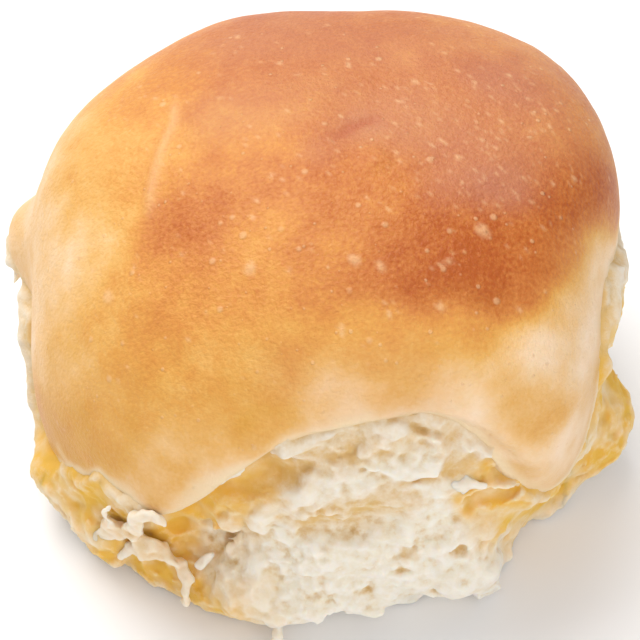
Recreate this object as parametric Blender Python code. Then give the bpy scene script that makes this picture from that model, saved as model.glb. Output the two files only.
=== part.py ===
"""A soft pull-apart bread roll, torn from its neighbours on every side.

The roll is one solid. Its skin is a loft: at each bearing a section runs from the foot, round the heel,
up the side and over the crown, and rings join the sections. The crust is a cap that ends in a wavy hem,
and one ring follows the hem all the way round. Below the hem the crumb is torn: it lies back under the
crust, runs out again to a ragged skirt at the base, and carries the lumps that came away from the
neighbouring rolls.

Metres, +Z up. +X is the roll's right and -Y its front, the side with the largest tear. The origin is
the middle of the underside. A bearing is an angle round the roll in degrees, from +X towards +Y, so
the front is at -90.
"""

import math

import bmesh
import bpy
import numpy as np
from mathutils import Vector, noise

MM = 0.001

# Driving dimensions
WIDTH = 71.8 * MM
DEPTH = 72.0 * MM
HEIGHT = 50.0 * MM

# Footprint and section, in proportion to them. The exponents make a superellipse: 2 is an ellipse, and
# more is boxier. Each swings by bearing, up at the back right and down at the front left.
FOOTPRINT_EXPONENT = 2.6
FOOTPRINT_EXPONENT_SWING = 0.35
FOOT_REACH = 0.86
WAIST_REACH = 0.975
HEEL_HEIGHT = 0.10 * HEIGHT
WIDEST_HEIGHT = 0.34 * HEIGHT
CROWN_EXPONENT = 2.65
CROWN_EXPONENT_SWING = 0.4
BOXIEST_BEARING = 55.0
LEAN = Vector((0.055 * WIDTH, 0.03 * DEPTH))

# The crust's hem: its height by bearing, high over each tear and low at the corners between them
HEM = (
    (-166.0, 0.13),
    (-152.0, 0.18),
    (-137.0, 0.30),
    (-127.0, 0.34),
    (-118.0, 0.43),
    (-107.0, 0.61),
    (-96.0, 0.69),
    (-82.0, 0.73),
    (-70.0, 0.74),
    (-58.0, 0.67),
    (-48.0, 0.45),
    (-39.0, 0.24),
    (-28.0, 0.20),
    (-12.0, 0.40),
    (4.0, 0.52),
    (18.0, 0.46),
    (33.0, 0.22),
    (47.0, 0.46),
    (60.0, 0.62),
    (76.0, 0.36),
    (92.0, 0.54),
    (108.0, 0.60),
    (124.0, 0.44),
    (138.0, 0.20),
    (152.0, 0.38),
    (165.0, 0.50),
    (180.0, 0.30),
)
HEM_ROUNDING = 5.0

# The tears: bearing, half width in degrees, how far the crumb lies back behind the crust's own line
TEARS = {
    "front_right": (-72.0, 42.0, 3.0 * MM),
    "front_left": (-106.0, 26.0, 4.0 * MM),
    "left": (165.0, 36.0, 2.4 * MM),
    "right": (4.0, 36.0, 2.8 * MM),
    "back_right": (60.0, 26.0, 2.6 * MM),
    "back": (106.0, 36.0, 3.0 * MM),
}
LIP_DEPTH = 1.6 * MM
SKIRT_HEIGHT = 4.0 * MM
SKIRT_RISE = 6.5 * MM

# What stands out of the torn sides or sinks into them.
# Each: bearing, height, half width along the side, half height, and reach (negative for a hollow).
LUMPS = {
    "front_skirt": (-100.0, 4.5 * MM, 15.0 * MM, 6.5 * MM, 2.2 * MM),
    "front_block": (-60.0, 6.0 * MM, 7.0 * MM, 7.0 * MM, 3.6 * MM),
    "front_undercut": (-68.0, 2.5 * MM, 22.0 * MM, 7.5 * MM, -3.4 * MM),
    "flap_hollow": (-112.0, 14.0 * MM, 8.0 * MM, 6.0 * MM, -2.8 * MM),
    "left_corner_tuck": (-134.0, 7.0 * MM, 26.0 * MM, 20.0 * MM, -1.8 * MM),
    "left_shred": (163.0, 20.5 * MM, 9.0 * MM, 7.0 * MM, 5.0 * MM),
    "right_lump": (-9.0, 7.5 * MM, 11.0 * MM, 8.0 * MM, 5.4 * MM),
    "right_shred": (12.0, 15.0 * MM, 12.0 * MM, 9.0 * MM, 3.8 * MM),
    "right_corner_tuck": (-42.0, 5.0 * MM, 20.0 * MM, 16.0 * MM, -3.6 * MM),
    "back_skirt": (96.0, 4.5 * MM, 24.0 * MM, 7.0 * MM, 2.8 * MM),
}

# Unevenness: the size of its features and how far they move the surface
CROWN_SWELL_SIZE = 26.0 * MM
CROWN_SWELL = 0.9 * MM
CRUMB_RELIEF_SIZE = 7.0 * MM
CRUMB_RELIEF = 0.9 * MM
HEM_WAVE_SIZE = 9.0 * MM
HEM_WAVE = 1.0 * MM

# The mesh
SEGMENTS = 96
UNDERSIDE_REACHES = (0.25, 0.5, 0.7)
TORN_RINGS = 15
CROWN_RINGS = 29
SECTION_STEPS = 60

CRUST_COLOUR = (0.72, 0.36, 0.12, 1.0)
CRUST_ROUGHNESS = 0.55


def clear_scene():
    for obj in list(bpy.data.objects):
        bpy.data.objects.remove(obj)


def smoothstep(low, high, value):
    """0 below low, 1 above high, and a smooth rise between them."""
    share = min(max((value - low) / (high - low), 0.0), 1.0)
    return share * share * (3.0 - 2.0 * share)


def bearing_gap(bearing, other):
    """The angle from one bearing to another, in degrees, from -180 to 180."""
    return (bearing - other + 180.0) % 360.0 - 180.0


def facing(bearing, other):
    """1 where two bearings agree, down to -1 where they are opposite."""
    return math.cos(math.radians(bearing_gap(bearing, other)))


def footprint(bearing):
    """The rounded-square footprint's point at that bearing, about its own middle."""
    angle = math.radians(bearing)
    across, along = math.cos(angle), math.sin(angle)
    power = FOOTPRINT_EXPONENT + FOOTPRINT_EXPONENT_SWING * facing(bearing, BOXIEST_BEARING)
    width_part = abs(across / (WIDTH / 2)) ** power
    depth_part = abs(along / (DEPTH / 2)) ** power
    return Vector((across, along)) * (width_part + depth_part) ** (-1 / power)


def section_curve(bearing):
    """The section at that bearing as (share of the footprint's reach, height), from the foot up."""
    curve = []
    for step in range(SECTION_STEPS):
        height = WIDEST_HEIGHT * step / SECTION_STEPS
        heel = min(height / HEEL_HEIGHT, 1.0)
        rounding = math.sqrt(1.0 - (1.0 - heel) ** 2)
        waist = FOOT_REACH + (WAIST_REACH - FOOT_REACH) * rounding
        swell = (1.0 - WAIST_REACH) * smoothstep(0.0, WIDEST_HEIGHT, height)
        curve.append((waist + swell, height))
    power = CROWN_EXPONENT + CROWN_EXPONENT_SWING * facing(bearing, BOXIEST_BEARING)
    for step in range(SECTION_STEPS + 1):
        climb = 0.5 * math.pi * step / SECTION_STEPS
        radius = (math.cos(climb) ** power + math.sin(climb) ** power) ** (-1 / power)
        rise = (HEIGHT - WIDEST_HEIGHT) * radius * math.sin(climb)
        curve.append((radius * math.cos(climb), WIDEST_HEIGHT + rise))
    return np.array(curve)


def window(bearing, middle, half_width):
    """1 at the middle of a tear and 0 past its ends."""
    gap = abs(bearing_gap(bearing, middle)) / half_width
    return smoothstep(1.0, 0.2, gap) if gap < 1.0 else 0.0


def hem_height(bearing):
    """The height at which the crust ends: the hem's outline with its corners rounded, and small waves."""
    bearings, shares = zip(*HEM)
    spread = bearing + np.linspace(-HEM_ROUNDING, HEM_ROUNDING, 9)
    level = HEIGHT * float(np.mean(np.interp(spread, bearings, shares, period=360.0)))
    rim = footprint(bearing)
    return level + HEM_WAVE * noise.noise(Vector((rim.x, rim.y, 0.0)) / HEM_WAVE_SIZE)


def crumb_setback(bearing, height, torn):
    """How far the torn crumb lies back behind the crust's own line."""
    depth = max(
        depth * window(bearing, middle, half_width)
        for middle, half_width, depth in TEARS.values()
    )
    return depth * torn * smoothstep(SKIRT_HEIGHT, SKIRT_HEIGHT + SKIRT_RISE, height)


def lump_reach(bearing, height):
    """How far the lumps stand out of the torn sides, or the hollows sink into them."""
    rim_radius = footprint(bearing).length
    total = 0.0
    for middle, level, half_width, half_height, reach in LUMPS.values():
        along = math.radians(bearing_gap(bearing, middle)) * rim_radius / half_width
        above = (height - level) / half_height
        gap = math.hypot(along, above)
        total += reach * smoothstep(1.0, 0.1, gap) if gap < 1.0 else 0.0
    return total


def skin_point(bearing, reach, height, torn):
    """One point of the roll's skin. Torn is 1 on the crumb below the hem and 0 on the crust."""
    rim = footprint(bearing)
    outward = rim.normalized()
    spot = Vector((rim.x * reach, rim.y * reach, height))
    relief = CRUMB_RELIEF * noise.noise(spot / CRUMB_RELIEF_SIZE) * torn
    swell = CROWN_SWELL * noise.noise(spot / CROWN_SWELL_SIZE) * (1.0 - torn)
    push = relief + lump_reach(bearing, height) - crumb_setback(bearing, height, torn)
    off_floor = smoothstep(0.0, HEEL_HEIGHT, height)
    lean = LEAN * (height / HEIGHT) ** 2
    crown = smoothstep(WIDEST_HEIGHT, HEIGHT, height)
    flat = rim * reach + lean + outward * (push * off_floor + swell * (1.0 - crown))
    return Vector((flat.x, flat.y, height + swell * crown))


def section_points(bearing):
    """One section's points: evenly spaced up the torn crumb, the lip, and evenly over the crust."""
    reaches, heights = section_curve(bearing).T
    steps = np.hypot(np.diff(reaches) * footprint(bearing).length, np.diff(heights))
    lengths = np.concatenate(([0.0], np.cumsum(steps)))
    hem = np.interp(hem_height(bearing), heights, lengths)
    crumb = np.linspace(0.0, hem - LIP_DEPTH, TORN_RINGS)
    crust = np.linspace(hem, lengths[-1], CROWN_RINGS, endpoint=False)
    for stations, torn in ((crumb, 1.0), (crust, 0.0)):
        for station in stations:
            reach = np.interp(station, lengths, reaches)
            height = np.interp(station, lengths, heights)
            yield skin_point(bearing, reach, height, torn)


def underside_points(bearing):
    """The points of one bearing on the flat underside, from the middle out."""
    for share in UNDERSIDE_REACHES:
        yield (footprint(bearing) * share).to_3d()


def loft(mesh, columns):
    """Joins each column of vertices to the next with quads."""
    for column, neighbour in zip(columns, columns[1:] + columns[:1]):
        for row in range(len(column) - 1):
            mesh.faces.new((column[row], neighbour[row], neighbour[row + 1], column[row + 1]))


def close(mesh, ring, middle, facing_up):
    """Fills a ring with a fan of triangles to a middle point."""
    for corner, neighbour in zip(ring, ring[1:] + ring[:1]):
        corners = (corner, neighbour, middle)
        mesh.faces.new(corners if facing_up else corners[::-1])


def centre_on_base(mesh):
    """Moves the mesh so that the middle of its box's underside is the origin."""
    places = [vertex.co for vertex in mesh.verts]
    low = Vector([min(place[axis] for place in places) for axis in range(3)])
    high = Vector([max(place[axis] for place in places) for axis in range(3)])
    middle = (low + high) / 2
    bmesh.ops.translate(mesh, verts=mesh.verts, vec=-Vector((middle.x, middle.y, low.z)))


def make_material():
    material = bpy.data.materials.new("crust")
    material.use_nodes = True
    shader = material.node_tree.nodes["Principled BSDF"]
    shader.inputs["Base Color"].default_value = CRUST_COLOUR
    shader.inputs["Roughness"].default_value = CRUST_ROUGHNESS
    shader.inputs["Metallic"].default_value = 0.0
    return material


def make_roll():
    mesh = bmesh.new()
    columns = []
    for segment in range(SEGMENTS):
        bearing = 360.0 * segment / SEGMENTS
        points = list(underside_points(bearing)) + list(section_points(bearing))
        columns.append([mesh.verts.new(point) for point in points])
    foot = mesh.verts.new((0.0, 0.0, 0.0))
    crown_swell = CROWN_SWELL * noise.noise(Vector((0.0, 0.0, HEIGHT)) / CROWN_SWELL_SIZE)
    crown = mesh.verts.new((LEAN.x, LEAN.y, HEIGHT + crown_swell))
    loft(mesh, columns)
    close(mesh, [column[0] for column in columns], foot, facing_up=False)
    close(mesh, [column[-1] for column in columns], crown, facing_up=True)
    centre_on_base(mesh)
    data = bpy.data.meshes.new("roll")
    mesh.to_mesh(data)
    mesh.free()
    data.shade_smooth()
    data.materials.append(make_material())
    roll = bpy.data.objects.new("roll", data)
    bpy.context.scene.collection.objects.link(roll)


clear_scene()
make_roll()
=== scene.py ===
"""The looks of a soft pull-apart bread roll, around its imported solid.

The solid's surface becomes a smooth distance field, in millimetres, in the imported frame. From that field
and a few named forms come the pieces: the crust down to its hem with the loaf's core, the torn crumb on
each side, and the shreds. Distances are below 0 inside the bread. A bearing is an angle round the roll in
degrees, from +X towards +Y, so the front is at -90.
"""

import math

import bpy
import numpy as np
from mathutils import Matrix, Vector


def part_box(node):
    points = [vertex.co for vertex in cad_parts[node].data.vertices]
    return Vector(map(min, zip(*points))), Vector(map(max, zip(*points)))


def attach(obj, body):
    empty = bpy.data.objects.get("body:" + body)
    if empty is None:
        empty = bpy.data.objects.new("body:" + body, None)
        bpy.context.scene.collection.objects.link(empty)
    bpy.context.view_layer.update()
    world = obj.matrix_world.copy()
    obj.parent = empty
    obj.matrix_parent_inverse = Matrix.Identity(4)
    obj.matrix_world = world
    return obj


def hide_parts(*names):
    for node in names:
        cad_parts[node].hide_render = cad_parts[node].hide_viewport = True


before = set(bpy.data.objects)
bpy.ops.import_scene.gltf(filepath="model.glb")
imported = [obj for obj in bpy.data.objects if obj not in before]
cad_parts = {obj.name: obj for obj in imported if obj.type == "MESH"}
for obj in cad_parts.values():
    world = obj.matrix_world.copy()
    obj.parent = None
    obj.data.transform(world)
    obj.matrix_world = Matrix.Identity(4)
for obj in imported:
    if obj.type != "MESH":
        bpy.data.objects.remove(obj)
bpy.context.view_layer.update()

import openvdb
from mathutils import Vector

METRES = 0.001
ROOM_MARGIN = 6.0
ROOM_LOW = np.array(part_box("roll")[0]) / METRES - ROOM_MARGIN
ROOM_HIGH = np.array(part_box("roll")[1]) / METRES + ROOM_MARGIN
CROWN_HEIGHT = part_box("roll")[1][2] / METRES

# The middle of the roll's footprint, and its reach there, as in the solid
FOOT_MIDDLE = np.array((-1.05, -0.73))
FOOT_REACH = 36.0

# The solid's field: its voxels, how many of them it reaches from the surface, and its rounds of smoothing
BODY_STEP = 0.5
BODY_REACH = 16.0
BODY_SMOOTHING = 6

# The voxels of the pieces
CRUST_STEP = 0.48
FRONT_STEP = 0.25
CRUMB_STEP = 0.33
SHRED_STEP = 0.18

# Where the roll is fuller than the solid, or flatter where it lay against the next one: place, reach, rise
SWELLS = {
    "left_shoulder": ((-31, 9, 37), 22, 3.4),
    "right_shoulder": ((29, 6, 40), 15, 1.5),
    "back_right": ((19, 24, 44), 14, -0.8),
    "right_flat": ((34, -13, 33), 17, -1.9),
    "right_foot": ((31, -22, 23), 10, -0.8),
    "left_flake": ((-38, 8, 24.5), 9.5, 1.6),
}

# The crust's hem, much as in the solid: bearing, and height as a share of the roll's
HEM = (
    (-173, 0.3), (-166, 0.18), (-155, 0.19), (-148, 0.27),
    (-141, 0.37), (-134, 0.42), (-127, 0.4), (-120, 0.37),
    (-107, 0.59), (-96, 0.66), (-82, 0.71), (-70, 0.73),
    (-58, 0.66), (-50, 0.42), (-45, 0.34), (-40, 0.36),
    (-32, 0.42), (-22, 0.58), (-8, 0.66), (6, 0.58),
    (18, 0.52), (33, 0.22), (47, 0.46), (60, 0.62),
    (76, 0.36), (92, 0.54), (108, 0.6), (124, 0.44),
    (138, 0.2), (152, 0.38), (165, 0.46), (172, 0.41),
    (180, 0.39),
)

# The hem's turns are rounded over this angle each way, and its heights are kept for every step of bearing
HEM_ROUNDING = 4.0
HEM_TABLE_STEP = 0.5

# The size and height of the hem's waves and frays. The frays are higher away from the neat stretch over the
# large tear.
HEM_WAVE_SIZE = 4.0
HEM_WAVE = 0.5
HEM_FRAY_SIZE = 1.5
HEM_FRAY = 0.35
RAGGED_GAIN = 1.5
NEAT_BEARING = -78.0
NEAT_HALF_ANGLE = 30.0
NEAT_FADE = 12.0

# How far the loaf's core lies behind the torn sides, how thick the crumb on it is, and how deep the crumb's
# faces are still kept
CORE_DEPTH = 2.4
CRUMB_THICKNESS = 3.2
HIDDEN_DEPTH = 1.6

# Lattice values up to this, once splined, make noise that is mostly between -1 and 1
LATTICE_PEAK = 2.6


# ---------------------------------------------------------------- fields


def smoothstep(low, high, value):
    """0 below low, 1 above high, and a smooth rise between them."""
    share = np.clip((value - low) / (high - low), 0.0, 1.0)
    return share * share * (3.0 - 2.0 * share)


def smooth_min(first, second, blend):
    """The smaller of two fields, with their crossing rounded over the blend distance."""
    overlap = np.maximum(blend - np.abs(first - second), 0.0) / blend
    return np.minimum(first, second) - overlap * overlap * blend * 0.25


def spline_shares(part):
    """The four cubic B-spline weights at a share of the way between two lattice points."""
    rest = 1.0 - part
    return (
        rest**3 / 6.0,
        (3.0 * part**3 - 6.0 * part**2 + 4.0) / 6.0,
        (3.0 * rest**3 - 6.0 * rest**2 + 4.0) / 6.0,
        part**3 / 6.0,
    )


class Lattice:
    """Values on a regular lattice, joined by cubic B-splines into a smooth field."""

    def __init__(self, values, low, step):
        self.values = values.astype(np.float32)
        self.low = np.array(low)
        self.step = np.array(step)

    def over(self, block):
        """The field on every voxel of a block."""
        out = self.values
        for axis in range(3):
            spot = (block.places[axis] - self.low[axis]) / self.step[axis]
            cell = np.floor(spot).astype(int)
            across = [1, 1, 1]
            across[axis] = len(spot)
            total = 0.0
            for offset, share in enumerate(spline_shares(spot - cell)):
                index = np.clip(cell + offset - 1, 0, self.values.shape[axis] - 1)
                share = share.astype(np.float32).reshape(across)
                total = total + np.take(out, index, axis=axis) * share
            out = total
        return out

    def at(self, points):
        """The field at scattered points."""
        spot = (points - self.low) / self.step
        cell = np.floor(spot).astype(int)
        shares = [spline_shares(spot[:, axis] - cell[:, axis]) for axis in range(3)]
        last = np.array(self.values.shape) - 1
        total = np.zeros(len(points))
        for corner in np.ndindex(4, 4, 4):
            index = np.clip(cell + np.array(corner) - 1, 0, last)
            share = shares[0][corner[0]] * shares[1][corner[1]] * shares[2][corner[2]]
            total += share * self.values[index[:, 0], index[:, 1], index[:, 2]]
        return total


def smoothed(values, rounds):
    """A lattice's values, evened out with their neighbours along each axis."""
    for _ in range(rounds):
        for axis in range(3):
            both = np.roll(values, 1, axis) + np.roll(values, -1, axis)
            values = 0.5 * values + 0.25 * both
    return values


def noise(size, seed):
    """Smooth noise with features of that size, mostly between -1 and 1."""
    step = np.full(3, size)
    counts = np.ceil((ROOM_HIGH - ROOM_LOW) / step).astype(int) + 4
    values = np.random.default_rng(seed).uniform(-LATTICE_PEAK, LATTICE_PEAK, counts)
    return Lattice(values, ROOM_LOW - step, step)


def with_noise(field, block, layers):
    """A field with layers of noise added on every voxel, each a size, an amount and a seed."""
    for size, amount, seed in layers:
        field = field + amount * noise(size, seed).over(block)
    return field


def drift_over(block, coarse, fine, seed):
    """A wandering offset along each axis, on every voxel. Coarse and fine are each a size and an amount."""
    drift = []
    for axis_seed in range(seed, seed + 3):
        large = coarse[1] * noise(coarse[0], axis_seed).over(block)
        small = fine[1] * noise(fine[0], axis_seed + 3).over(block)
        drift.append(large + small)
    return drift


def drift_at(points, size, amount, seed):
    """A wandering offset for each of some scattered points."""
    return amount * np.stack([noise(size, seed + axis).at(points) for axis in range(3)], axis=1)


class Block:
    """A box of voxels."""

    def __init__(self, low, high, step):
        self.low = np.array(low, float)
        self.step = step
        self.counts = np.ceil((np.array(high) - self.low) / step).astype(int) + 1
        self.places = [self.low[axis] + step * np.arange(self.counts[axis]) for axis in range(3)]
        self.x = self.places[0][:, None, None]
        self.y = self.places[1][None, :, None]
        self.z = self.places[2][None, None, :]

    def near(self, centre, reach):
        """The slices of the voxels within reach of a place, and their offsets from it."""
        first = np.maximum(np.floor((centre - reach - self.low) / self.step), 0).astype(int)
        last = np.ceil((centre + reach - self.low) / self.step).astype(int) + 1
        cut = tuple(slice(start, max(end, start)) for start, end in zip(first, last))
        offset = (
            self.x[cut[0]] - centre[0],
            self.y[:, cut[1]] - centre[1],
            self.z[:, :, cut[2]] - centre[2],
        )
        return cut, offset

    def value_at(self, field, places):
        """The field's values at the voxels nearest to some places."""
        index = np.clip(((places - self.low) / self.step).astype(int), 0, self.counts - 1)
        return field[index[:, 0], index[:, 1], index[:, 2]]


def bearing_of(x, y):
    return np.degrees(np.arctan2(y - FOOT_MIDDLE[1], x - FOOT_MIDDLE[0]))


def bearing_gap(bearing, other):
    return (bearing - other + 180.0) % 360.0 - 180.0


HEM_WAVES = noise(HEM_WAVE_SIZE, seed=11)
HEM_FRAYS = noise(HEM_FRAY_SIZE, seed=12)


def hem_tables():
    """The hem's height with its waves and frays, and the cosine of its slope, for every step of bearing."""
    bearings = np.arange(-180.0, 180.0, HEM_TABLE_STEP)
    known, shares = zip(*HEM)
    turns = np.linspace(-HEM_ROUNDING, HEM_ROUNDING, 9)
    turned = [np.interp(bearings + turn, known, shares, period=360.0) for turn in turns]
    share = np.mean(turned, axis=0)
    slope = np.gradient(share * CROWN_HEIGHT, FOOT_REACH * math.radians(HEM_TABLE_STEP))
    angles = np.radians(bearings)
    rim = FOOT_REACH * np.stack((np.cos(angles), np.sin(angles), 0.0 * angles), axis=1)
    aside = np.abs(bearing_gap(bearings, NEAT_BEARING))
    ragged = smoothstep(NEAT_HALF_ANGLE, NEAT_HALF_ANGLE + NEAT_FADE, aside)
    fray = HEM_FRAY * (1.0 + RAGGED_GAIN * ragged)
    heights = share * CROWN_HEIGHT + HEM_WAVE * HEM_WAVES.at(rim) + fray * HEM_FRAYS.at(rim)
    return heights, 1.0 / np.sqrt(1.0 + slope * slope)


HEM_HEIGHTS, HEM_COSINES = hem_tables()


def below_hem(x, y, z):
    """How far a place lies below the hem, at a right angle to it."""
    steps = (bearing_of(x, y) + 180.0) / HEM_TABLE_STEP
    low = np.floor(steps).astype(int)
    part = steps - low
    count = len(HEM_HEIGHTS)
    hem = HEM_HEIGHTS[low % count] * (1.0 - part) + HEM_HEIGHTS[(low + 1) % count] * part
    return (hem - z) * HEM_COSINES[low % count]


def vertex_values(data, name):
    """The places or normals of a mesh's vertices, a row for each."""
    values = np.empty(len(data.vertices) * 3, np.float32)
    data.vertices.foreach_get(name, values)
    return values.reshape(-1, 3)


def solid_field():
    """The distance to the CAD solid's surface, smoothed so that its facets don't show."""
    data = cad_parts["roll"].data
    data.calc_loop_triangles()
    corners = np.empty(len(data.loop_triangles) * 3, np.int32)
    data.loop_triangles.foreach_get("vertices", corners)
    points = vertex_values(data, "co") / METRES - ROOM_LOW
    grid = openvdb.FloatGrid.createLevelSetFromPolygons(
        points.astype(np.float32),
        triangles=corners.reshape(-1, 3).astype(np.uint32),
        transform=openvdb.createLinearTransform(voxelSize=BODY_STEP),
        halfWidth=BODY_REACH,
    )
    counts = np.ceil((ROOM_HIGH - ROOM_LOW) / BODY_STEP).astype(int) + 1
    values = np.empty(counts, np.float32)
    grid.copyToArray(values)
    values = smoothed(values, BODY_SMOOTHING)
    block = Block(ROOM_LOW, ROOM_HIGH, BODY_STEP)
    for place, reach, rise in SWELLS.values():
        cut, offset = block.near(np.array(place), reach)
        gap = np.sqrt(sum(part * part for part in offset)) / reach
        values[cut] -= rise * smoothstep(-1.0, 0.0, -gap)
    return Lattice(values, ROOM_LOW, (BODY_STEP,) * 3)


SOLID = solid_field()


# ---------------------------------------------------------------- meshes


def add_object(name, data):
    thing = bpy.data.objects.new(name, data)
    bpy.context.scene.collection.objects.link(thing)
    return thing


def to_mesh(name, block, field, material, depth=None):
    """An object with a field's surface as its mesh. A depth field leaves out the faces deep in the bread."""
    band = 3 * block.step
    grid = openvdb.FloatGrid()
    grid.background = float(band)
    grid.transform = openvdb.createLinearTransform(voxelSize=block.step)
    grid.copyFromArray(np.clip(field, -band, band).astype(np.float32))
    points, _, quads = grid.convertToPolygons(isovalue=0.0, adaptivity=0.0)
    points = points + block.low
    if depth is not None:
        shown = depth.at(points)[quads].min(axis=1) < HIDDEN_DEPTH
        used, quads = np.unique(quads[shown], return_inverse=True)
        points = points[used]
        quads = quads.reshape(-1, 4)
    data = bpy.data.meshes.new(name)
    data.from_pydata((points * METRES).tolist(), [], quads.tolist())
    data.update()
    data.shade_smooth()
    data.materials.append(material)
    return add_object(name, data)


def places_of(piece):
    """A piece's points in millimetres."""
    return vertex_values(piece.data, "co").astype(float) / METRES


def normals_of(piece):
    return vertex_values(piece.data, "normal").astype(float)


def move_points(piece, points):
    piece.data.vertices.foreach_set("co", (points * METRES).astype(np.float32).ravel())
    piece.data.update()


def keep(piece, name, values):
    """Stores a number for each point, which the materials read by its name."""
    attribute = piece.data.attributes.new(name, "FLOAT", "POINT")
    attribute.data.foreach_set("value", values.astype(np.float32))


# ---------------------------------------------------------------- torn sides

# The torn sides' own forms: start, end, half width, rise (negative for a hollow) and softness of the edge,
# from 0 to 1. Each is a blunt bar between two places, and its outline wanders.
FORMS = {
    "white_mass": ((-3, -34, 10), (15, -33, 11), 10, 1.3, 0.6),
    "left_fill": ((-13, -31.5, 14.5), (-10.5, -33.5, 9), 5.5, 1.6, 0.9),
    "fringe_ridge": ((-8, -32, 18.5), (-2.5, -32, 27), 2.4, 1.1, 0.7),
    "tan_shelf": ((-12, -31.5, 24), (-6.5, -31.5, 28.5), 3.8, -1.8, 0.8),
    "deep_hollow": ((-17.5, -30, 15), (-14, -31.5, 22), 3.4, -3.6, 0.6),
    "valley": ((-0.5, -33, 19), (5.5, -33, 19.5), 4, -1.3, 0.9),
    "flap": ((7, -31, 31), (10, -31, 30.5), 4, 0.7, 0.3),
    "flap_crack": ((8, -31, 26), (11.5, -31, 26.6), 1.2, -0.6, 0.9),
    "notch": ((14, -30.5, 33), (14, -30.5, 27.5), 1.9, -1.2, 0.7),
    "right_shelf": ((16, -30.5, 27), (21, -29, 25.5), 2.6, -0.9, 0.8),
    "base_recess": ((1, -36, 0), (14.5, -34.5, 0), 6, -3.9, 0.8),
    "gold_hollow": ((17, -30.8, 21.2), (20.2, -29.8, 21.8), 2, -2.4, 0.6),
    "gold_pocket": ((19.6, -29.6, 25.2), (21.4, -29, 25.2), 1.4, -1.4, 0.7),
    "end_block": ((18.5, -30, 7), (20, -30, 3), 3.2, 2.2, 0.5),
    "right_recess": ((24.5, -27.5, 3), (29, -20.5, 3), 5.2, -2.7, 0.8),
    "right_under": ((30, -22, 19), (34.5, -13, 21), 6, -2.6, 0.9),
    "right_lump": ((33.5, -13, 8.5), (37.5, -5, 12.5), 7, 1, 0.7),
    "base_lump": ((3.6, -35, 4.5), (5.2, -35, 4.2), 1.8, 1.5, 0.4),
    "left_corner": ((-35, -18, 6), (-30, -23.5, 6.5), 7, 2.4, 0.7),
    "left_edge": ((-37, 8, 13), (-37, -12, 8), 7, 0.2, 0.7),
    "right_lumps": ((34, -8, 30), (36, 3, 22), 6, 0.9, 0.6),
    "left_under": ((-38, 9, 17), (-37.5, 3.5, 15.5), 4.5, -1.8, 0.8),
    "left_frill": ((-37.5, 1, 18), (-37.5, -3, 19), 3.5, 1.3, 0.7),
    "pore_left": ((-9.1, -33, 14.8), (-8.6, -33, 14.8), 1.3, -1, 0.8),
    "pore_middle": ((9.6, -33.5, 15.4), (10.1, -33.5, 15.4), 1, -0.9, 0.8),
    "pore_right": ((15.3, -32, 13.7), (15.8, -32, 13.7), 1.4, -0.9, 0.7),
    "pore_low": ((17.2, -31.5, 6.6), (17.9, -31.5, 6.4), 1.3, -0.9, 0.8),
}

# How the forms' outlines wander, each a size and an amount, and the room round a form for that
FORM_COARSE_DRIFT = (2.8, 0.9)
FORM_FINE_DRIFT = (1.2, 0.45)
FORM_ROOM = 1.2

# Just below the hem the crumb stands out again to the skin, but for the bearings where the skin overhangs
BROW_RISE = 0.8
BROW_DEPTH = 5.0
BROW_START = 0.5
OVERHANG_BEARING = -111.0
OVERHANG_HALF_ANGLE = 14.0
OVERHANG_FADE = 5.0


def along_bar(offset, run):
    """For offsets from a bar's start: the distance from its line and the share of the way along it."""
    x, y, z = offset
    length = float(run @ run) + 1e-9
    share = np.clip((x * run[0] + y * run[1] + z * run[2]) / length, 0.0, 1.0)
    gap = np.sqrt((x - share * run[0]) ** 2 + (y - share * run[1]) ** 2 + (z - share * run[2]) ** 2)
    return gap, share


def forms_over(block):
    """How far the torn sides' own forms stand out, on every voxel of a block."""
    drift = drift_over(block, FORM_COARSE_DRIFT, FORM_FINE_DRIFT, seed=91)
    total = np.zeros(block.counts, np.float32)
    for start, end, half_width, rise, softness in FORMS.values():
        start, end = np.array(start), np.array(end)
        reach = np.linalg.norm(end - start) / 2 + half_width + FORM_ROOM
        cut, offset = block.near((start + end) / 2, reach)
        half_run = (end - start) / 2
        offset = [part + half + wind[cut] for part, half, wind in zip(offset, half_run, drift)]
        gap, _ = along_bar(offset, end - start)
        full_rise = 0.9 * softness - 0.95
        total[cut] += rise * smoothstep(-1.0, full_rise, -gap / half_width)
    return total


def torn_envelope(block, solid, under):
    """The torn sides' surface before its fine relief."""
    aside = np.abs(bearing_gap(bearing_of(block.x, block.y), OVERHANG_BEARING))
    brow = BROW_RISE * smoothstep(OVERHANG_HALF_ANGLE - OVERHANG_FADE, OVERHANG_HALF_ANGLE, aside)
    return solid - forms_over(block) - brow * smoothstep(-BROW_DEPTH, -BROW_START, -under)


# ---------------------------------------------------------------- crust

# The raised crease on the left shoulder, as plan points, and the faint groove beside it
CREASE = ((-18.1, 11), (-18.2, 6), (-19.6, 1.5), (-20.6, -3.6), (-20.7, -8.1))
CREASE_WIDTH = 0.6
CREASE_RISE = 0.2
GROOVE_PLACE = 1.4
GROOVE_WIDTH = 0.8
GROOVE_DEPTH = 0.06

# The split in the crown, as plan points, and the bubble in front of it
SPLIT = ((-0.2, -0.6), (3.2, 2.2), (7.0, 4.3))
SPLIT_WIDTH = 0.7
SPLIT_DEPTH = 0.2
BUBBLE = (5.4, -3.2)
BUBBLE_FOOT = 2.6
BUBBLE_TOP = 0.6
BUBBLE_RISE = 0.35

# The larger blisters: plan place and radius
BLISTERS = (
    (17.7, -11.6, 0.9), (-25.2, -13.8, 0.9), (-8.9, -16.3, 0.8), (2.9, -16.1, 0.8),
    (6.0, -17.0, 0.7), (6.8, -21.9, 0.5), (13.6, -16.1, 0.5), (12.4, -20.7, 0.6),
)
DOME_HEIGHT = 0.14

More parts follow.
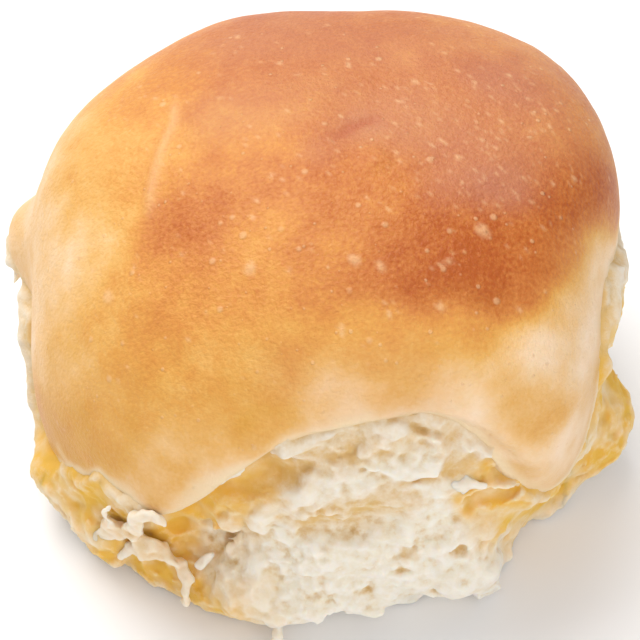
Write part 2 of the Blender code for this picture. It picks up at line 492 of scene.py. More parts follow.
# The small blisters: how many, how far out they lie, the cluster that holds a third of them, their radii from
# the smallest up by the spread, and their height as a share of the radius
SMALL_BLISTERS = 360
BLISTER_REACH = 31.0
BLISTER_CLUSTER = np.array((19.0, 0.0))
CLUSTER_SPREAD = 7.0
SMALLEST_BLISTER = 0.16
BLISTER_SPREAD = 0.3
SMALL_DOME_HEIGHT = 0.12

# Blisters lie above this height, and below this radius they show less
BLISTER_LOWEST = 20.0
BLISTER_CLEAR_RADIUS = 0.4

# How far each part of the crust is browned, from 0, cream, to 1, dark: place, reach, level
BROWNING = {
    "top_back": ((0, 23, 47), 9, 0.84),
    "top_left": ((-9, 14, 48), 7, 0.79),
    "back_left": ((-19, 12, 45), 6, 0.58),
    "back_right": ((22, 20, 43), 8, 0.72),
    "left_shoulder": ((-27, 5, 40), 7, 0.43),
    "left_side": ((-31, -6, 34), 7, 0.19),
    "left_high": ((-35, 8, 36), 5, 0.14),
    "right_back": ((22, 10, 46.5), 4.5, 0.93),
    "crease": ((-21, -2, 44), 4, 0.5),
    "left_red": ((-15, -9, 46), 4.5, 0.84),
    "crown_left": ((-13, 2, 48), 6, 0.58),
    "crown_middle": ((-8, -6, 49.5), 3.5, 0.74),
    "crown_pale": ((-5, 7, 50), 6, 0.69),
    "split": ((2, -3, 50), 5, 0.83),
    "crown": ((8, 8, 50), 8, 0.75),
    "crown_right": ((16, 0, 49), 7, 0.78),
    "right_rim": ((27, 6, 46), 6, 0.67),
    "rim_dark": ((31, -1.5, 42), 4.5, 0.97),
    "rim_front": ((26, -12, 44), 3.5, 0.76),
    "rim_tan": ((29, -13, 41.5), 2.2, 0.42),
    "right_brown": ((24, -5, 47), 6, 0.92),
    "centre_brown": ((10, -10, 49), 6, 0.84),
    "dark_corner": ((20, -12, 47), 6, 0.98),
    "dark_front": ((12, -17, 46), 5, 1),
    "dark_front_right": ((21, -18, 44), 3.8, 0.9),
    "dark_front_left": ((5, -17, 47), 4, 0.8),
    "orange_front": ((-1, -15, 48), 5, 0.69),
    "pale_patch": ((-7, -15, 47), 4.5, 0.54),
    "orange_low": ((-9, -21, 43), 5, 0.58),
    "orange_corner": ((-19, -18, 41), 5.5, 0.62),
    "left_middle": ((-26, -17, 36), 5, 0.42),
    "front_step": ((5, -24, 43), 3.5, 0.54),
    "front_step_right": ((15, -23, 43), 3.5, 0.5),
    "right_step": ((28.5, -17, 39), 3, 0.3),
    "right_pale": ((33, -11, 37), 5.5, 0),
    "right_foot": ((26, -27, 26), 4, 0.05),
    "right_corner_pale": ((26, -23, 37), 4.5, 0.04),
    "right_corner_tan": ((22, -27, 34), 3.5, 0.3),
    "right_orange": ((25.5, -26, 33.5), 3, 0.46),
    "front_tan": ((8, -27, 40), 4.5, 0.38),
    "front_cream": ((2, -30, 38), 4, 0.12),
    "hem_cream": ((13, -30, 37), 4, 0.04),
    "front_left": ((-10, -26, 39), 5.5, 0.45),
    "left_corner": ((-20, -25, 34), 5.5, 0.46),
    "left_foot": ((-27, -25, 26), 4.5, 0.46),
    "left_cream": ((-32, -16, 28), 5, 0.3),
    "left_low": ((-32.5, -19, 19), 5, 0.58),
    "hem_left": ((-18, -31, 27), 4.5, 0.28),
}

# The browning where no patch says otherwise: its levels low on the sides and on the crown, and the heights
SIDE_BROWNING = 0.15
CROWN_BROWNING = 0.75
SIDE_HEIGHT = 32.0
CROWN_START = 46.0
BASE_WEIGHT = 0.02

# Near the hem the crust is paler by this share, and by less of it on the sides away from the neat stretch
HEM_PALING = 0.65
FAR_PALING_LOSS = 0.4
PALING_WIDTH = 3.4
FAR_PALING_ANGLES = (35.0, 60.0)

# Painted sheen: where the crown's brown is turned dull and pinkish by a painted sheen of the sky, and on the
# front a painted shade, as bars: start, end, half width, amount
PAINTED_SHEEN_AND_SHADE = {
    "back": ((-8, 20, 47), (22, 13, 46), 13, 0.7),
    "right": ((9, 3, 50), (20, -2, 48), 9.5, 0.8),
    "right_rim": ((20, 10, 46), (27, 4, 45), 7.5, 0.5),
    "front_right": ((13, -7, 48), (20, -6, 47), 5, 0.5),
    # The front bar darkens the skin there, as painted shade
    "front": ((-4, -28, 40), (10, -28, 40), 7, 0.25),
    "split": ((-1, -2, 50), (4, 2, 50), 4, 0.4),
    "left": ((-12, 6, 49), (0, 6, 50), 8, 0.5),
}

# How far the crust's voxels end inside the room, and how far below the hem its surface turns in to the core
CRUST_TRIM = 4.0
TURN_IN = (0.5, 1.2)

# The heights between which the skin's details come in
DETAIL_HEIGHTS = (20.0, 28.0)

# The skin's unevenness: size, amount and seed of each layer
SKIN_UNEVENNESS = ((8.0, 0.16, 41), (2.6, 0.06, 42), (1.2, 0.03, 43))


def distance_to_path(x, y, path):
    """The distance in plan to a path, and the share of the way along it."""
    best = np.full(len(x), 1e9)
    share = np.zeros(len(x))
    for number, (start, end) in enumerate(zip(path, path[1:])):
        start, end = np.array(start), np.array(end)
        run = end - start
        part = np.clip(((x - start[0]) * run[0] + (y - start[1]) * run[1]) / (run @ run), 0.0, 1.0)
        gap = np.hypot(x - start[0] - part * run[0], y - start[1] - part * run[1])
        nearer = gap < best
        best = np.where(nearer, gap, best)
        share = np.where(nearer, (number + part) / (len(path) - 1), share)
    return best, share


def browning_level(points):
    """How far the crust is browned, from 0, cream, to 1, dark brown."""
    places = points + drift_at(points, size=5.0, amount=1.3, seed=21)
    crown = smoothstep(SIDE_HEIGHT, CROWN_START, places[:, 2])
    total = BASE_WEIGHT * (SIDE_BROWNING + (CROWN_BROWNING - SIDE_BROWNING) * crown)
    weights = np.full(len(points), BASE_WEIGHT)
    for place, reach, level in BROWNING.values():
        gap = np.linalg.norm(places - np.array(place), axis=1) / reach
        weight = np.exp(-gap * gap)
        total += weight * level
        weights += weight
    level = total / weights
    level += 0.05 * noise(3.2, 24).at(points) + 0.045 * noise(1.5, 25).at(points)
    x, y, z = points.T
    to_hem = below_hem(x, y, z) + 0.7 * noise(1.8, 26).at(points)
    away = smoothstep(*FAR_PALING_ANGLES, np.abs(bearing_gap(bearing_of(x, y), NEAT_BEARING)))
    level *= 1.0 - (HEM_PALING - FAR_PALING_LOSS * away) * smoothstep(-PALING_WIDTH, 0.0, to_hem)
    return np.clip(level, 0.0, 1.0)


def blister_sites():
    """The blisters' plan places, radii and heights."""
    draw = np.random.default_rng(31)
    sites = [(x, y, radius, DOME_HEIGHT * radius) for x, y, radius in BLISTERS]
    for number in range(SMALL_BLISTERS):
        x, y = draw.uniform(-BLISTER_REACH, BLISTER_REACH, 2)
        if number % 3 == 0:
            x, y = BLISTER_CLUSTER + draw.normal(scale=CLUSTER_SPREAD, size=2)
        radius = SMALLEST_BLISTER + BLISTER_SPREAD * draw.random() ** 3
        sites.append((x, y, radius, SMALL_DOME_HEIGHT * radius))
    return sites


def crease_and_groove(x, y):
    """How strongly the crease shows at each plan place, and the groove beside it."""
    gap, share = distance_to_path(x, y, CREASE)
    fade = smoothstep(0.0, 0.2, share) * smoothstep(0.0, 0.25, 1.0 - share)
    crease = fade * np.exp(-((gap / CREASE_WIDTH) ** 2))
    return crease, fade * np.exp(-(((gap - GROOVE_PLACE) / GROOVE_WIDTH) ** 2))


def split_strength(x, y):
    gap, share = distance_to_path(x, y, SPLIT)
    fade_in = smoothstep(0.0, 0.3, share)
    fade_out = smoothstep(0.0, 0.3, 1.0 - share)
    return np.exp(-((gap / SPLIT_WIDTH) ** 2)) * fade_in * fade_out


def blister_domes(points):
    """How far the blisters lift the skin, and how strongly they show. Each is a round dome on the skin."""
    rise = np.zeros(len(points))
    blister = np.zeros(len(points))
    places = points + drift_at(points, size=0.9, amount=0.3, seed=32)
    for place_x, place_y, radius, height in blister_sites():
        aside = np.hypot(places[:, 0] - place_x, places[:, 1] - place_y)
        near = np.nonzero((aside < 2.0 * radius) & (points[:, 2] > BLISTER_LOWEST))[0]
        if len(near) == 0:
            continue
        middle = places[near[np.argmin(aside[near])]]
        dome = smoothstep(-1.2, -0.3, -np.linalg.norm(places[near] - middle, axis=1) / radius)
        rise[near] += height * dome
        blister[near] = np.maximum(blister[near], dome * min(radius / BLISTER_CLEAR_RADIUS, 1.0))
    return rise, blister


def skin_details(points):
    """How far the crease, split, bubble and blisters lift the skin, and how strongly each shows."""
    x, y, _ = points.T
    crease, groove = crease_and_groove(x, y)
    split = split_strength(x, y)
    bubble = smoothstep(-BUBBLE_FOOT, -BUBBLE_TOP, -np.hypot(x - BUBBLE[0], y - BUBBLE[1]))
    lift, blister = blister_domes(points)
    rise = CREASE_RISE * crease - GROOVE_DEPTH * groove + BUBBLE_RISE * bubble - SPLIT_DEPTH * split
    return rise + lift, crease, split, blister


def make_crust():
    """The skin down to its hem, and the loaf's core below it, as one closed mesh."""
    block = Block(ROOM_LOW + CRUST_TRIM, ROOM_HIGH - CRUST_TRIM, CRUST_STEP)
    solid = SOLID.over(block)
    under = below_hem(block.x, block.y, block.z)
    core = torn_envelope(block, solid, under) + CORE_DEPTH
    field = solid + (core - solid) * smoothstep(*TURN_IN, under)
    crust = to_mesh("crust", block, field, crust_material())
    points = places_of(crust)
    x, y, z = points.T
    on_crown = smoothstep(*DETAIL_HEIGHTS, z) * smoothstep(-0.5, 1.5, -below_hem(x, y, z))
    rise, crease, split, blister = skin_details(points)
    skin = sum(amount * noise(size, seed).at(points) for size, amount, seed in SKIN_UNEVENNESS)
    lift = rise * on_crown + skin
    points += normals_of(crust) * lift[:, None]
    move_points(crust, points)
    keep(crust, "browning", browning_level(points))
    # Painted sheen on the crown and painted shade on the front
    keep(crust, "painted_sheen_and_shade", np.clip(bars_total(points, PAINTED_SHEEN_AND_SHADE), 0.0, 1.0))
    # Along the crease the skin is painted paler, as a painted highlight on its ridge
    keep(crust, "blister", np.maximum(blister, 0.7 * crease) * on_crown)
    keep(crust, "split", split * on_crown)
    torn_width = 0.7 + 1.8 * np.maximum(noise(2.0, 44).at(points), 0.0)
    keep(crust, "torn", smoothstep(-1.8, 0.5, below_hem(x, y, z) / torn_width))
    keep(crust, "butter_and_shade", butter_and_shade_level(points))
    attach(crust, "root")
    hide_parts("roll")


# ---------------------------------------------------------------- crumb

# Where butter has soaked in, with warm painted shade in the deeper hollows, and where the crumb is tan,
# mostly painted shade in its recesses and under the skin's edge: start, end, half width, amount
BUTTER_AND_SHADE = {
    "left_corner": ((-33, -17, 10), (-19, -29, 12), 11, 0.95),
    "left_hem": ((-33, -18, 13), (-20, -30, 18), 6, 0.7),
    "deep_hollow": ((-18, -29, 13.5), (-14, -31.5, 20), 6, 1),
    "tan_shelf": ((-14, -31, 22), (-7, -31, 25.5), 5, 0.9),
    "left_base": ((-26, -26, 2), (-12, -35, 1), 8, 0.9),
    "front_base": ((-12, -35, 1), (2, -37, 1), 4, 0.5),
    "fringe_shadow": ((-13, -31.5, 16), (-7, -31.5, 20), 3.4, 0.5),
    "gold_hollow": ((17, -30.5, 22), (21, -29.5, 22.5), 4.2, 1),
    "right_shelf": ((15.5, -30.5, 24), (22, -29, 23), 4, 0.9),
    "right_corner": ((22, -29, 22), (26.5, -22.5, 4), 7.5, 0.9),
    "right_middle": ((17, -31, 17), (22, -29.5, 10), 4, 0.35),
    "right_lumps": ((35.5, -3, 21), (36.5, 6, 14), 8, 0.6),
    "right_wall": ((32, -18, 26), (36.5, -5, 23), 9, 0.9),
    "right_under": ((29, -25, 17), (34.5, -13, 20), 6.5, 0.9),
    "left_flake": ((-36, 14, 24), (-38, 5, 17), 7, 0.45),
    "crust_left_flake": ((-38, 8, 27), (-34, 12, 31), 4, 0.5),
    "crust_left_front": ((-31, -12, 31), (-20, -24, 35), 9, 0.3),
    "crust_step": ((-8, -25, 41), (16, -22, 43), 6.5, 0.2),
    "left_middle": ((-28, -23, 15), (-23, -28, 14), 4, 0.5),
    "base_left": ((-18, -32, 6), (-8, -35.5, 7.5), 5, 0.45),
    "left_edge": ((-37, 8, 13), (-37, -12, 8), 8, 0.35),
    "pore_low": ((17.2, -31.5, 6.6), (17.9, -31.5, 6.4), 2.2, 0.6),
    "right_lump": ((32, -16, 8), (38, -4, 12), 11, 1),
    "crust_left_foot": ((-33, -18, 19), (-25, -25.5, 26), 7, 1),
    "crust_left_low": ((-12, -28, 37), (-8, -29, 37), 5, 0.4),
    "crust_stripe": ((-9, -30.5, 34), (-3.5, -30.5, 36.5), 3, 0.6),
    "crust_front": ((8, -27, 40.5), (17, -25, 41), 4, 0.35),
}
# Painted shade in the crumb's recesses, pits, crack and notch and under the skin's edge; real tan on the
# right wall and on the flake
TAN_AND_SHADE = {
    "shelf": ((-15, -31, 22), (-5, -31, 29), 6, 1),
    "under_hem": ((-6, -31.5, 29), (12, -31, 34), 4, 0.75),
    "middle": ((-2, -33, 22), (8, -33, 24), 5, 0.75),
    "valley": ((-0.5, -33, 20), (6, -33, 20.5), 3.8, 0.4),
    "flap_crack": ((6, -31, 26), (12, -31, 26.2), 1.6, 0.8),
    "notch": ((14, -30.5, 33.5), (14, -30.5, 27), 2.4, 0.9),
    "right_shelf": ((16, -30.5, 28), (23, -29, 26), 4, 0.6),
    "pore_left": ((-9.1, -33, 14.8), (-8.6, -33, 14.8), 1.8, 0.9),
    "pore_middle": ((9.6, -33.5, 15.4), (10.1, -33.5, 15.4), 1.5, 0.9),
    "pore_right": ((15.3, -32, 13.7), (15.8, -32, 13.7), 1.6, 0.6),
    "right_wall": ((31, -19, 32), (34, -2, 29), 9, 0.8),
    "left_flake": ((-36, 14, 26), (-38, 5, 19), 7, 0.6),
    "base": ((-2, -36, 0.5), (14, -34, 0.5), 2.6, 0.6),
    "left_pit": ((-13.5, -32, 14), (-9, -32.5, 16), 4, 0.6),
}

# The torn zones: lowest and highest corner, bearing of the middle, half angle and voxel. Past the seam
# between two zones each one sinks under the other.
CRUMB_ZONES = {
    "crumb_front": ((-42, -42, 0.2), (41, -15, 40), -90, 62, FRONT_STEP),
    "crumb_back": ((-43, -21, 0.2), (43, 41, 36), 90, 118, CRUMB_STEP),
}
SEAM_SLOPE = 0.1
SEAM_REACH = 4.0

# The share of a coloured bar's half width that has its full amount
BAR_CORE = 0.15

# The crumb tucks in under the skin across the hem, ends this far above the hem, and stays off the floor
TUCK_DEPTH = 1.2
TUCK_RANGE = (-0.9, 0.6)
CRUMB_LAP = 1.0
BOTTOM_GAP = 0.45

# Layers of noise on the torn crumb: size, amount and seed
CRUMB_LUMPS = ((5.0, 0.35, 61), (2.6, 0.22, 62))
CRUMB_GRAIN = ((0.8, 0.14, 66), (0.5, 0.1, 67))
GRAIN_COARSE_DRIFT = (1.1, 0.4)
GRAIN_FINE_DRIFT = (0.5, 0.2)
FILM_LEVEL = 0.24

# Painted shade: the crumb is coloured darker in hollows, where the smoothed crumb within this span of the
# surface is mostly solid. Depth adds a share.
HOLLOW_SPAN = 0.8
HOLLOW_SMOOTHING = 3
DEPTH_SHARE = 0.12

# Painted shade on the crumb just below the hem, and the crumb lets light in deeper away from it
HEM_SHADE = 0.65
HEM_SHADE_RANGE = (-4.5, -0.5)
SOFT_DISTANCE = 1.8


def bars_total(points, bars):
    """The sum of soft bars, each a start, an end, a half width and an amount."""
    total = np.zeros(len(points))
    for start, end, half_width, amount in bars.values():
        start, end = np.array(start), np.array(end)
        gap, _ = along_bar((points - start).T, end - start)
        total += amount * smoothstep(-1.0, -BAR_CORE, -gap / half_width)
    return total


# Butter, and the warm painted shade in the deeper hollows
def butter_and_shade_level(points):
    places = points + drift_at(points, size=2.5, amount=1.2, seed=51)
    patchy = 0.85 + 0.3 * noise(1.8, 54).at(points) + 0.15 * noise(0.8, 59).at(points)
    return np.clip(np.clip(bars_total(places, BUTTER_AND_SHADE), 0.0, 1.0) * patchy, 0.0, 1.0)


# The tan and the painted shade of the bars
def tan_and_shade_level(points):
    places = points + drift_at(points, size=2.0, amount=0.8, seed=55)
    return np.clip(bars_total(places, TAN_AND_SHADE) * (1.0 + 0.3 * noise(1.4, 58).at(points)), 0.0, 1.0)


class Grains:
    """Many long grains in random directions, the same for every block."""

    # The room round a grain for its wandering, the depths at which it counts, and how far thin ones prevail
    ROOM = 0.3
    NEARBY = (-0.9, 0.7)
    THINNESS = 2.5

    def __init__(self, seed, per_mm3, widths, stretch, rises):
        draw = np.random.default_rng(seed)
        count = int(per_mm3 * float(np.prod(ROOM_HIGH - ROOM_LOW)))
        self.centres = ROOM_LOW + draw.random((count, 3)) * (ROOM_HIGH - ROOM_LOW)
        directions = draw.normal(size=(count, 3))
        self.directions = directions / np.linalg.norm(directions, axis=1)[:, None]
        self.widths = widths[0] + (widths[1] - widths[0]) * draw.random(count) ** self.THINNESS
        self.lengths = self.widths * draw.uniform(*stretch, count)
        self.rises = self.widths * draw.uniform(*rises, count)

    def raise_on(self, block, surface, drift):
        """Raises a surface where the grains lie close to it, or presses it in where their rise is below 0."""
        high = block.low + (block.counts - 1) * block.step
        inside = np.all((self.centres > block.low) & (self.centres < high), axis=1)
        depth = block.value_at(surface, self.centres)
        for number in np.nonzero(inside & (depth > self.NEARBY[0]) & (depth < self.NEARBY[1]))[0]:
            direction, width, length = self.directions[number], self.widths[number], self.lengths[number]
            cut, (x, y, z) = block.near(self.centres[number], length + self.ROOM)
            x, y, z = x + drift[0][cut], y + drift[1][cut], z + drift[2][cut]
            along = x * direction[0] + y * direction[1] + z * direction[2]
            square = np.maximum(x * x + y * y + z * z - along * along, 0.0)
            share = np.clip(1.0 - np.sqrt(square / width**2 + (along / length) ** 2), 0.0, 1.0)
            surface[cut] -= self.rises[number] * share * share * (3.0 - 2.0 * share)


PITS = Grains(seed=75, per_mm3=0.3, widths=(0.5, 1.5), stretch=(1.0, 2.0), rises=(-0.26, -0.1))
WISPS = Grains(seed=76, per_mm3=0.5, widths=(0.26, 0.46), stretch=(2.0, 7.0), rises=(0.35, 0.8))


def hollowness(block, field):
    """How far each place on a surface lies in a hollow, above 0, or on a ridge, below 0, as a lattice."""
    solid = np.clip(-field / HOLLOW_SPAN, -1.0, 1.0)[::2, ::2, ::2]
    return Lattice(smoothed(solid, HOLLOW_SMOOTHING), block.low, (2 * block.step,) * 3)


def crumb_relief(block, envelope):
    """The torn crumb's surface: lumps, folds of torn film, pits and wisps on an envelope."""
    surface = with_noise(envelope, block, CRUMB_LUMPS)
    near_base = smoothstep(-7.0, -2.0, -block.z)
    surface += 0.5 * near_base * noise(3.2, 65).over(block)
    coarse_film = 0.32 * np.abs(noise(2.1, 63).over(block))
    fine_film = 0.24 * np.abs(noise(1.1, 64).over(block))
    surface += coarse_film + fine_film - FILM_LEVEL
    drift = drift_over(block, GRAIN_COARSE_DRIFT, GRAIN_FINE_DRIFT, seed=71)
    PITS.raise_on(block, surface, drift)
    WISPS.raise_on(block, surface, drift)
    return with_noise(surface, block, CRUMB_GRAIN)


def make_crumb(name, material):
    """One zone of torn crumb: a rough layer on the loaf's core, from the floor up to under the skin."""
    low, high, middle, half_angle, step = CRUMB_ZONES[name]
    block = Block(low, high, step)
    under = below_hem(block.x, block.y, block.z)
    envelope = torn_envelope(block, SOLID.over(block), under)
    envelope = envelope + TUCK_DEPTH * smoothstep(*TUCK_RANGE, -under)
    past_seam = np.maximum(np.abs(bearing_gap(bearing_of(block.x, block.y), middle)) - half_angle, 0.0)
    surface = crumb_relief(block, envelope) + SEAM_SLOPE * past_seam
    field = np.maximum(surface, -(envelope + CRUMB_THICKNESS))
    field = np.maximum(field, -under - CRUMB_LAP)
    radius = np.hypot(block.x - FOOT_MIDDLE[0], block.y - FOOT_MIDDLE[1])
    field = np.maximum(field, radius * np.sin(np.radians(np.minimum(past_seam - SEAM_REACH, 90.0))))
    field = np.maximum(field, BOTTOM_GAP - block.z)
    depth = Lattice(-envelope, block.low, (block.step,) * 3)
    piece = to_mesh(name, block, field, material, depth)
    points = places_of(piece)
    # Painted shade: darker in the hollows, and by a share of the depth
    depth_here = np.clip(depth.at(points), -1.0, 2.0)
    keep(piece, "hollow", hollowness(block, surface).at(points) + DEPTH_SHARE * depth_here)
    # Butter, with warm painted shade in the deeper hollows
    keep(piece, "butter_and_shade", butter_and_shade_level(points))
    under_here = below_hem(*points.T)
    # Painted shade just below the hem, and the tan and painted shade of the bars
    hem_shade = HEM_SHADE * smoothstep(*HEM_SHADE_RANGE, -under_here)
    keep(piece, "tan_and_shade", np.maximum(tan_and_shade_level(points), hem_shade))
    keep(piece, "soft", smoothstep(0.0, SOFT_DISTANCE, under_here))
    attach(piece, "root")


# ---------------------------------------------------------------- shreds

# The loose shreds of torn film: strands of (x, y, z, half width). A shred is flattened towards the roll.
SHREDS = {
    "curled_shred": (
        (
            (-28.6, -24.4, 4.8, 0.32), (-27.6, -26, 8.2, 0.8), (-26.2, -27.4, 11, 0.96),
            (-24, -29, 13.2, 0.96), (-22.1, -29.8, 11.4, 1.6), (-19.4, -30.2, 9.8, 1.28),
            (-17.7, -31, 8.2, 0.72), (-16.9, -32.4, 7, 0.64), (-17.4, -33.2, 4.2, 0.88),
        ),
        (
            (-22.8, -29.8, 13.6, 1.12), (-22.6, -31, 17.4, 0.64), (-22.2, -31.4, 19.4, 0.8),
            (-20.6, -31.9, 20.4, 0.88), (-19.4, -32.1, 19, 0.72),
        ),
        ((-22.6, -29.6, 11, 1.28), (-25, -27.8, 6.2, 0.4)),
        ((-26, -27.9, 11.8, 0.8), (-25.9, -29.4, 18.2, 0.16)),
    ),
    "bit": (((-15.4, -31.5, 9, 0.64), (-14, -31.1, 10.9, 0.88)),),
    "hanging_shred": (((-6.3, -36.4, 5.8, 1), (-6.1, -36.8, 3.4, 0.5), (-6.3, -36.7, 1.2, 0.45)),),
    "spike": (((12, -30, 22.8, 1.8), (15, -30.4, 24.4, 1.2), (18.4, -30.4, 24, 0.25)),),
    "left_flake": (
        ((-36.5, 9.8, 22.4, 1.5), (-39, 8.6, 21.6, 0.9), (-40.4, 7.8, 21.2, 0.3)),
        ((-36.5, 6.6, 20.6, 1.5), (-38.8, 5.6, 19.6, 0.7), (-39.6, 4.8, 18.6, 0.25)),
        ((-36.5, 4, 19, 1.3), (-38.2, 2.8, 17.8, 0.5)),
    ),
}

# The shreds' flatness, the room round them, how their strands blend and wander, and their grain and colour
SHRED_FLATNESS = 0.7
SHRED_ROOM = 3.0
SHRED_BLEND = 0.7
SHRED_COARSE_DRIFT = (1.6, 0.5)
SHRED_FINE_DRIFT = (0.7, 0.2)
SHRED_GRAIN = ((0.9, 0.34, 81), (0.5, 0.2, 82))
SHRED_BUTTER_AND_SHADE = {"curled_shred": 0.35, "bit": 0.0, "hanging_shred": 0.3, "spike": 0.0, "left_flake": 1.0}
SHRED_TAN = 0.3
SHRED_SOFTNESS = 0.8
FAR_AWAY = 9.0


def make_shred(name, material):
    """A shred: its strands as tapering bars that run into one another, roughened."""
    strands = SHREDS[name]
    knots = np.array([knot for strand in strands for knot in strand])
    low = knots[:, :3].min(axis=0) - SHRED_ROOM
    high = knots[:, :3].max(axis=0) + SHRED_ROOM
    block = Block(low, high, SHRED_STEP)
    outward = np.append(knots[:, :2].mean(axis=0) - FOOT_MIDDLE, 0.0)
    outward /= np.linalg.norm(outward)
    drift = drift_over(block, SHRED_COARSE_DRIFT, SHRED_FINE_DRIFT, seed=83)
    field = np.full(block.counts, FAR_AWAY)
    for strand in strands:
        for start, end in zip(strand, strand[1:]):
            first, last = np.array(start[:3]), np.array(end[:3])
            x = block.x - first[0] + drift[0]
            y = block.y - first[1] + drift[1]
            z = block.z - first[2] + drift[2]
            extra = SHRED_FLATNESS * (x * outward[0] + y * outward[1])
            run = last - first
            run = run + SHRED_FLATNESS * float(run @ outward) * outward
            gap, share = along_bar((x + extra * outward[0], y + extra * outward[1], z), run)
            half_width = start[3] + (end[3] - start[3]) * share
            field = smooth_min(field, gap - half_width, SHRED_BLEND)
    field = with_noise(field, block, SHRED_GRAIN)
    piece = to_mesh(name, block, np.maximum(field, BOTTOM_GAP - block.z), material)
    points = places_of(piece)
    # Painted shade in the shred's hollows
    keep(piece, "hollow", hollowness(block, field).at(points))
    keep(piece, "butter_and_shade", SHRED_BUTTER_AND_SHADE[name] * butter_and_shade_level(points))
    keep(piece, "tan_and_shade", np.full(len(points), SHRED_TAN))
    keep(piece, "soft", np.full(len(points), SHRED_SOFTNESS))
    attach(piece, "root")


# ---------------------------------------------------------------- materials


def linear(*levels):
    """A linear colour from sRGB levels of 0 to 255."""
    shares = [level / 255.0 for level in levels]
    return tuple(s / 12.92 if s <= 0.04045 else ((s + 0.055) / 1.055) ** 2.4 for s in shares) + (1.0,)


BROWNING_COLOURS = (
    (0.0, (242, 214, 182)),
    (0.12, (236, 200, 154)),
    (0.24, (231, 186, 124)),
    (0.36, (224, 171, 94)),
    (0.48, (217, 155, 74)),
    (0.6, (209, 139, 63)),
    (0.72, (199, 123, 56)),
    (0.82, (190, 109, 44)),
    (0.92, (180, 95, 31)),
    (1.0, (171, 82, 18)),
)
# The colour of the painted sheen on the crown, also the painted shade on the front
PAINTED_SHEEN_AND_SHADE_COLOUR = (184, 122, 96)
BUTTER_COLOUR = (212, 158, 58)
# The crumb's butter yellow, also the warm painted shade in its deeper hollows
SOAKED_AND_SHADE_COLOUR = (230, 181, 77)
BLISTER_COLOUR = (230, 187, 140)
SPLIT_COLOUR = (176, 92, 56)
TORN_COLOUR = (235, 212, 174)
# The colour of the crumb's tan and of its painted shade
TAN_AND_SHADE_COLOUR = (219, 182, 120)
# The crumb from pale to darker, for its random tone and for the painted shade in hollows
CRUMB_COLOURS = (
    (0.0, (238, 232, 220)),
    (0.35, (234, 224, 204)),
    (0.6, (226, 204, 168)),
    (0.8, (216, 184, 134)),
    (1.0, (206, 164, 102)),
)


# The share of a Voronoi texture's cells without a speck, and the specks' size and sharpness
BARE_CELLS = 0.42
SPECK_SIZE = 0.5
SPECK_SHARPNESS = 9.0


class Nodes:
    """Short calls for building a material's nodes."""

    def __init__(self, name):
        self.material = bpy.data.materials.new(name)
        self.material.use_nodes = True
        self.tree = self.material.node_tree
        self.shader = self.tree.nodes["Principled BSDF"]

    def add(self, kind, **settings):
        node = self.tree.nodes.new(kind)
        for key, value in settings.items():
            setattr(node, key, value)
        return node

    def join(self, output, socket):
        self.tree.links.new(output, socket)

    def set(self, values):
        """Sets the shader's own sockets."""
        for name, value in values.items():
            self.shader.inputs[name].default_value = value

    def attribute(self, name):
        return self.add("ShaderNodeAttribute", attribute_name=name).outputs["Fac"]

    def scaled(self, name, share):
        return self.math("MULTIPLY", self.attribute(name), share)

    def math(self, operation, first, second=0.0, clamp=False):
        node = self.add("ShaderNodeMath", operation=operation, use_clamp=clamp)
        for socket, value in zip(node.inputs, (first, second)):
            if isinstance(value, (int, float)):
                socket.default_value = value
            else:
                self.join(value, socket)
        return node.outputs["Value"]

    def noise(self, size_mm, detail=2.0, roughness=0.5):
        node = self.add("ShaderNodeTexNoise")
        node.inputs["Scale"].default_value = 1.0 / (size_mm * METRES)
        node.inputs["Detail"].default_value = detail
        node.inputs["Roughness"].default_value = roughness
        self.join(self.place(), node.inputs["Vector"])
        return node.outputs["Fac"]

    def place(self):
        return self.add("ShaderNodeTexCoord").outputs["Object"]

    def swing(self, value, amount):
        """A value from 0 to 1 turned into one from minus half the amount to plus half."""
        return self.math("MULTIPLY", self.math("SUBTRACT", value, 0.5), amount)

    def specks(self, spacing_mm):
        """Small round specks of random size, 1 inside and 0 outside."""
        node = self.add("ShaderNodeTexVoronoi")
        node.inputs["Scale"].default_value = 1.0 / (spacing_mm * METRES)
        self.join(self.place(), node.inputs["Vector"])
        node.inputs["Randomness"].default_value = 1.0
        size = self.math("SUBTRACT", node.outputs["Color"], BARE_CELLS)
        size = self.math("MULTIPLY", size, SPECK_SIZE)
        inside = self.math("SUBTRACT", size, node.outputs["Distance"])
        return self.math("MULTIPLY", inside, SPECK_SHARPNESS, clamp=True)

    def ramp(self, value, stops):
        node = self.add("ShaderNodeValToRGB")
        ramp = node.color_ramp
        while len(ramp.elements) < len(stops):
            ramp.elements.new(0.5)
        for element, (position, colour) in zip(ramp.elements, stops):
            element.position = position
            element.color = linear(*colour)
        self.join(value, node.inputs["Fac"])
        return node.outputs["Color"]

    def mix(self, share, first, second):
        """A mix of two colours. The node's other sockets are for numbers and vectors."""
        node = self.add("ShaderNodeMix", data_type="RGBA")
        factor, _, _, _, _, _, left, right = list(node.inputs)[:8]
        self.join(share, factor)
        for socket, value in ((left, first), (right, second)):
            if isinstance(value, tuple):
                socket.default_value = linear(*value)
            else:
                self.join(value, socket)
        return node.outputs[2]

    def bump(self, height, distance_mm, strength):
        node = self.add("ShaderNodeBump")
        node.inputs["Strength"].default_value = strength
        node.inputs["Distance"].default_value = distance_mm * METRES
        self.join(height, node.inputs["Height"])
        return node.outputs["Normal"]


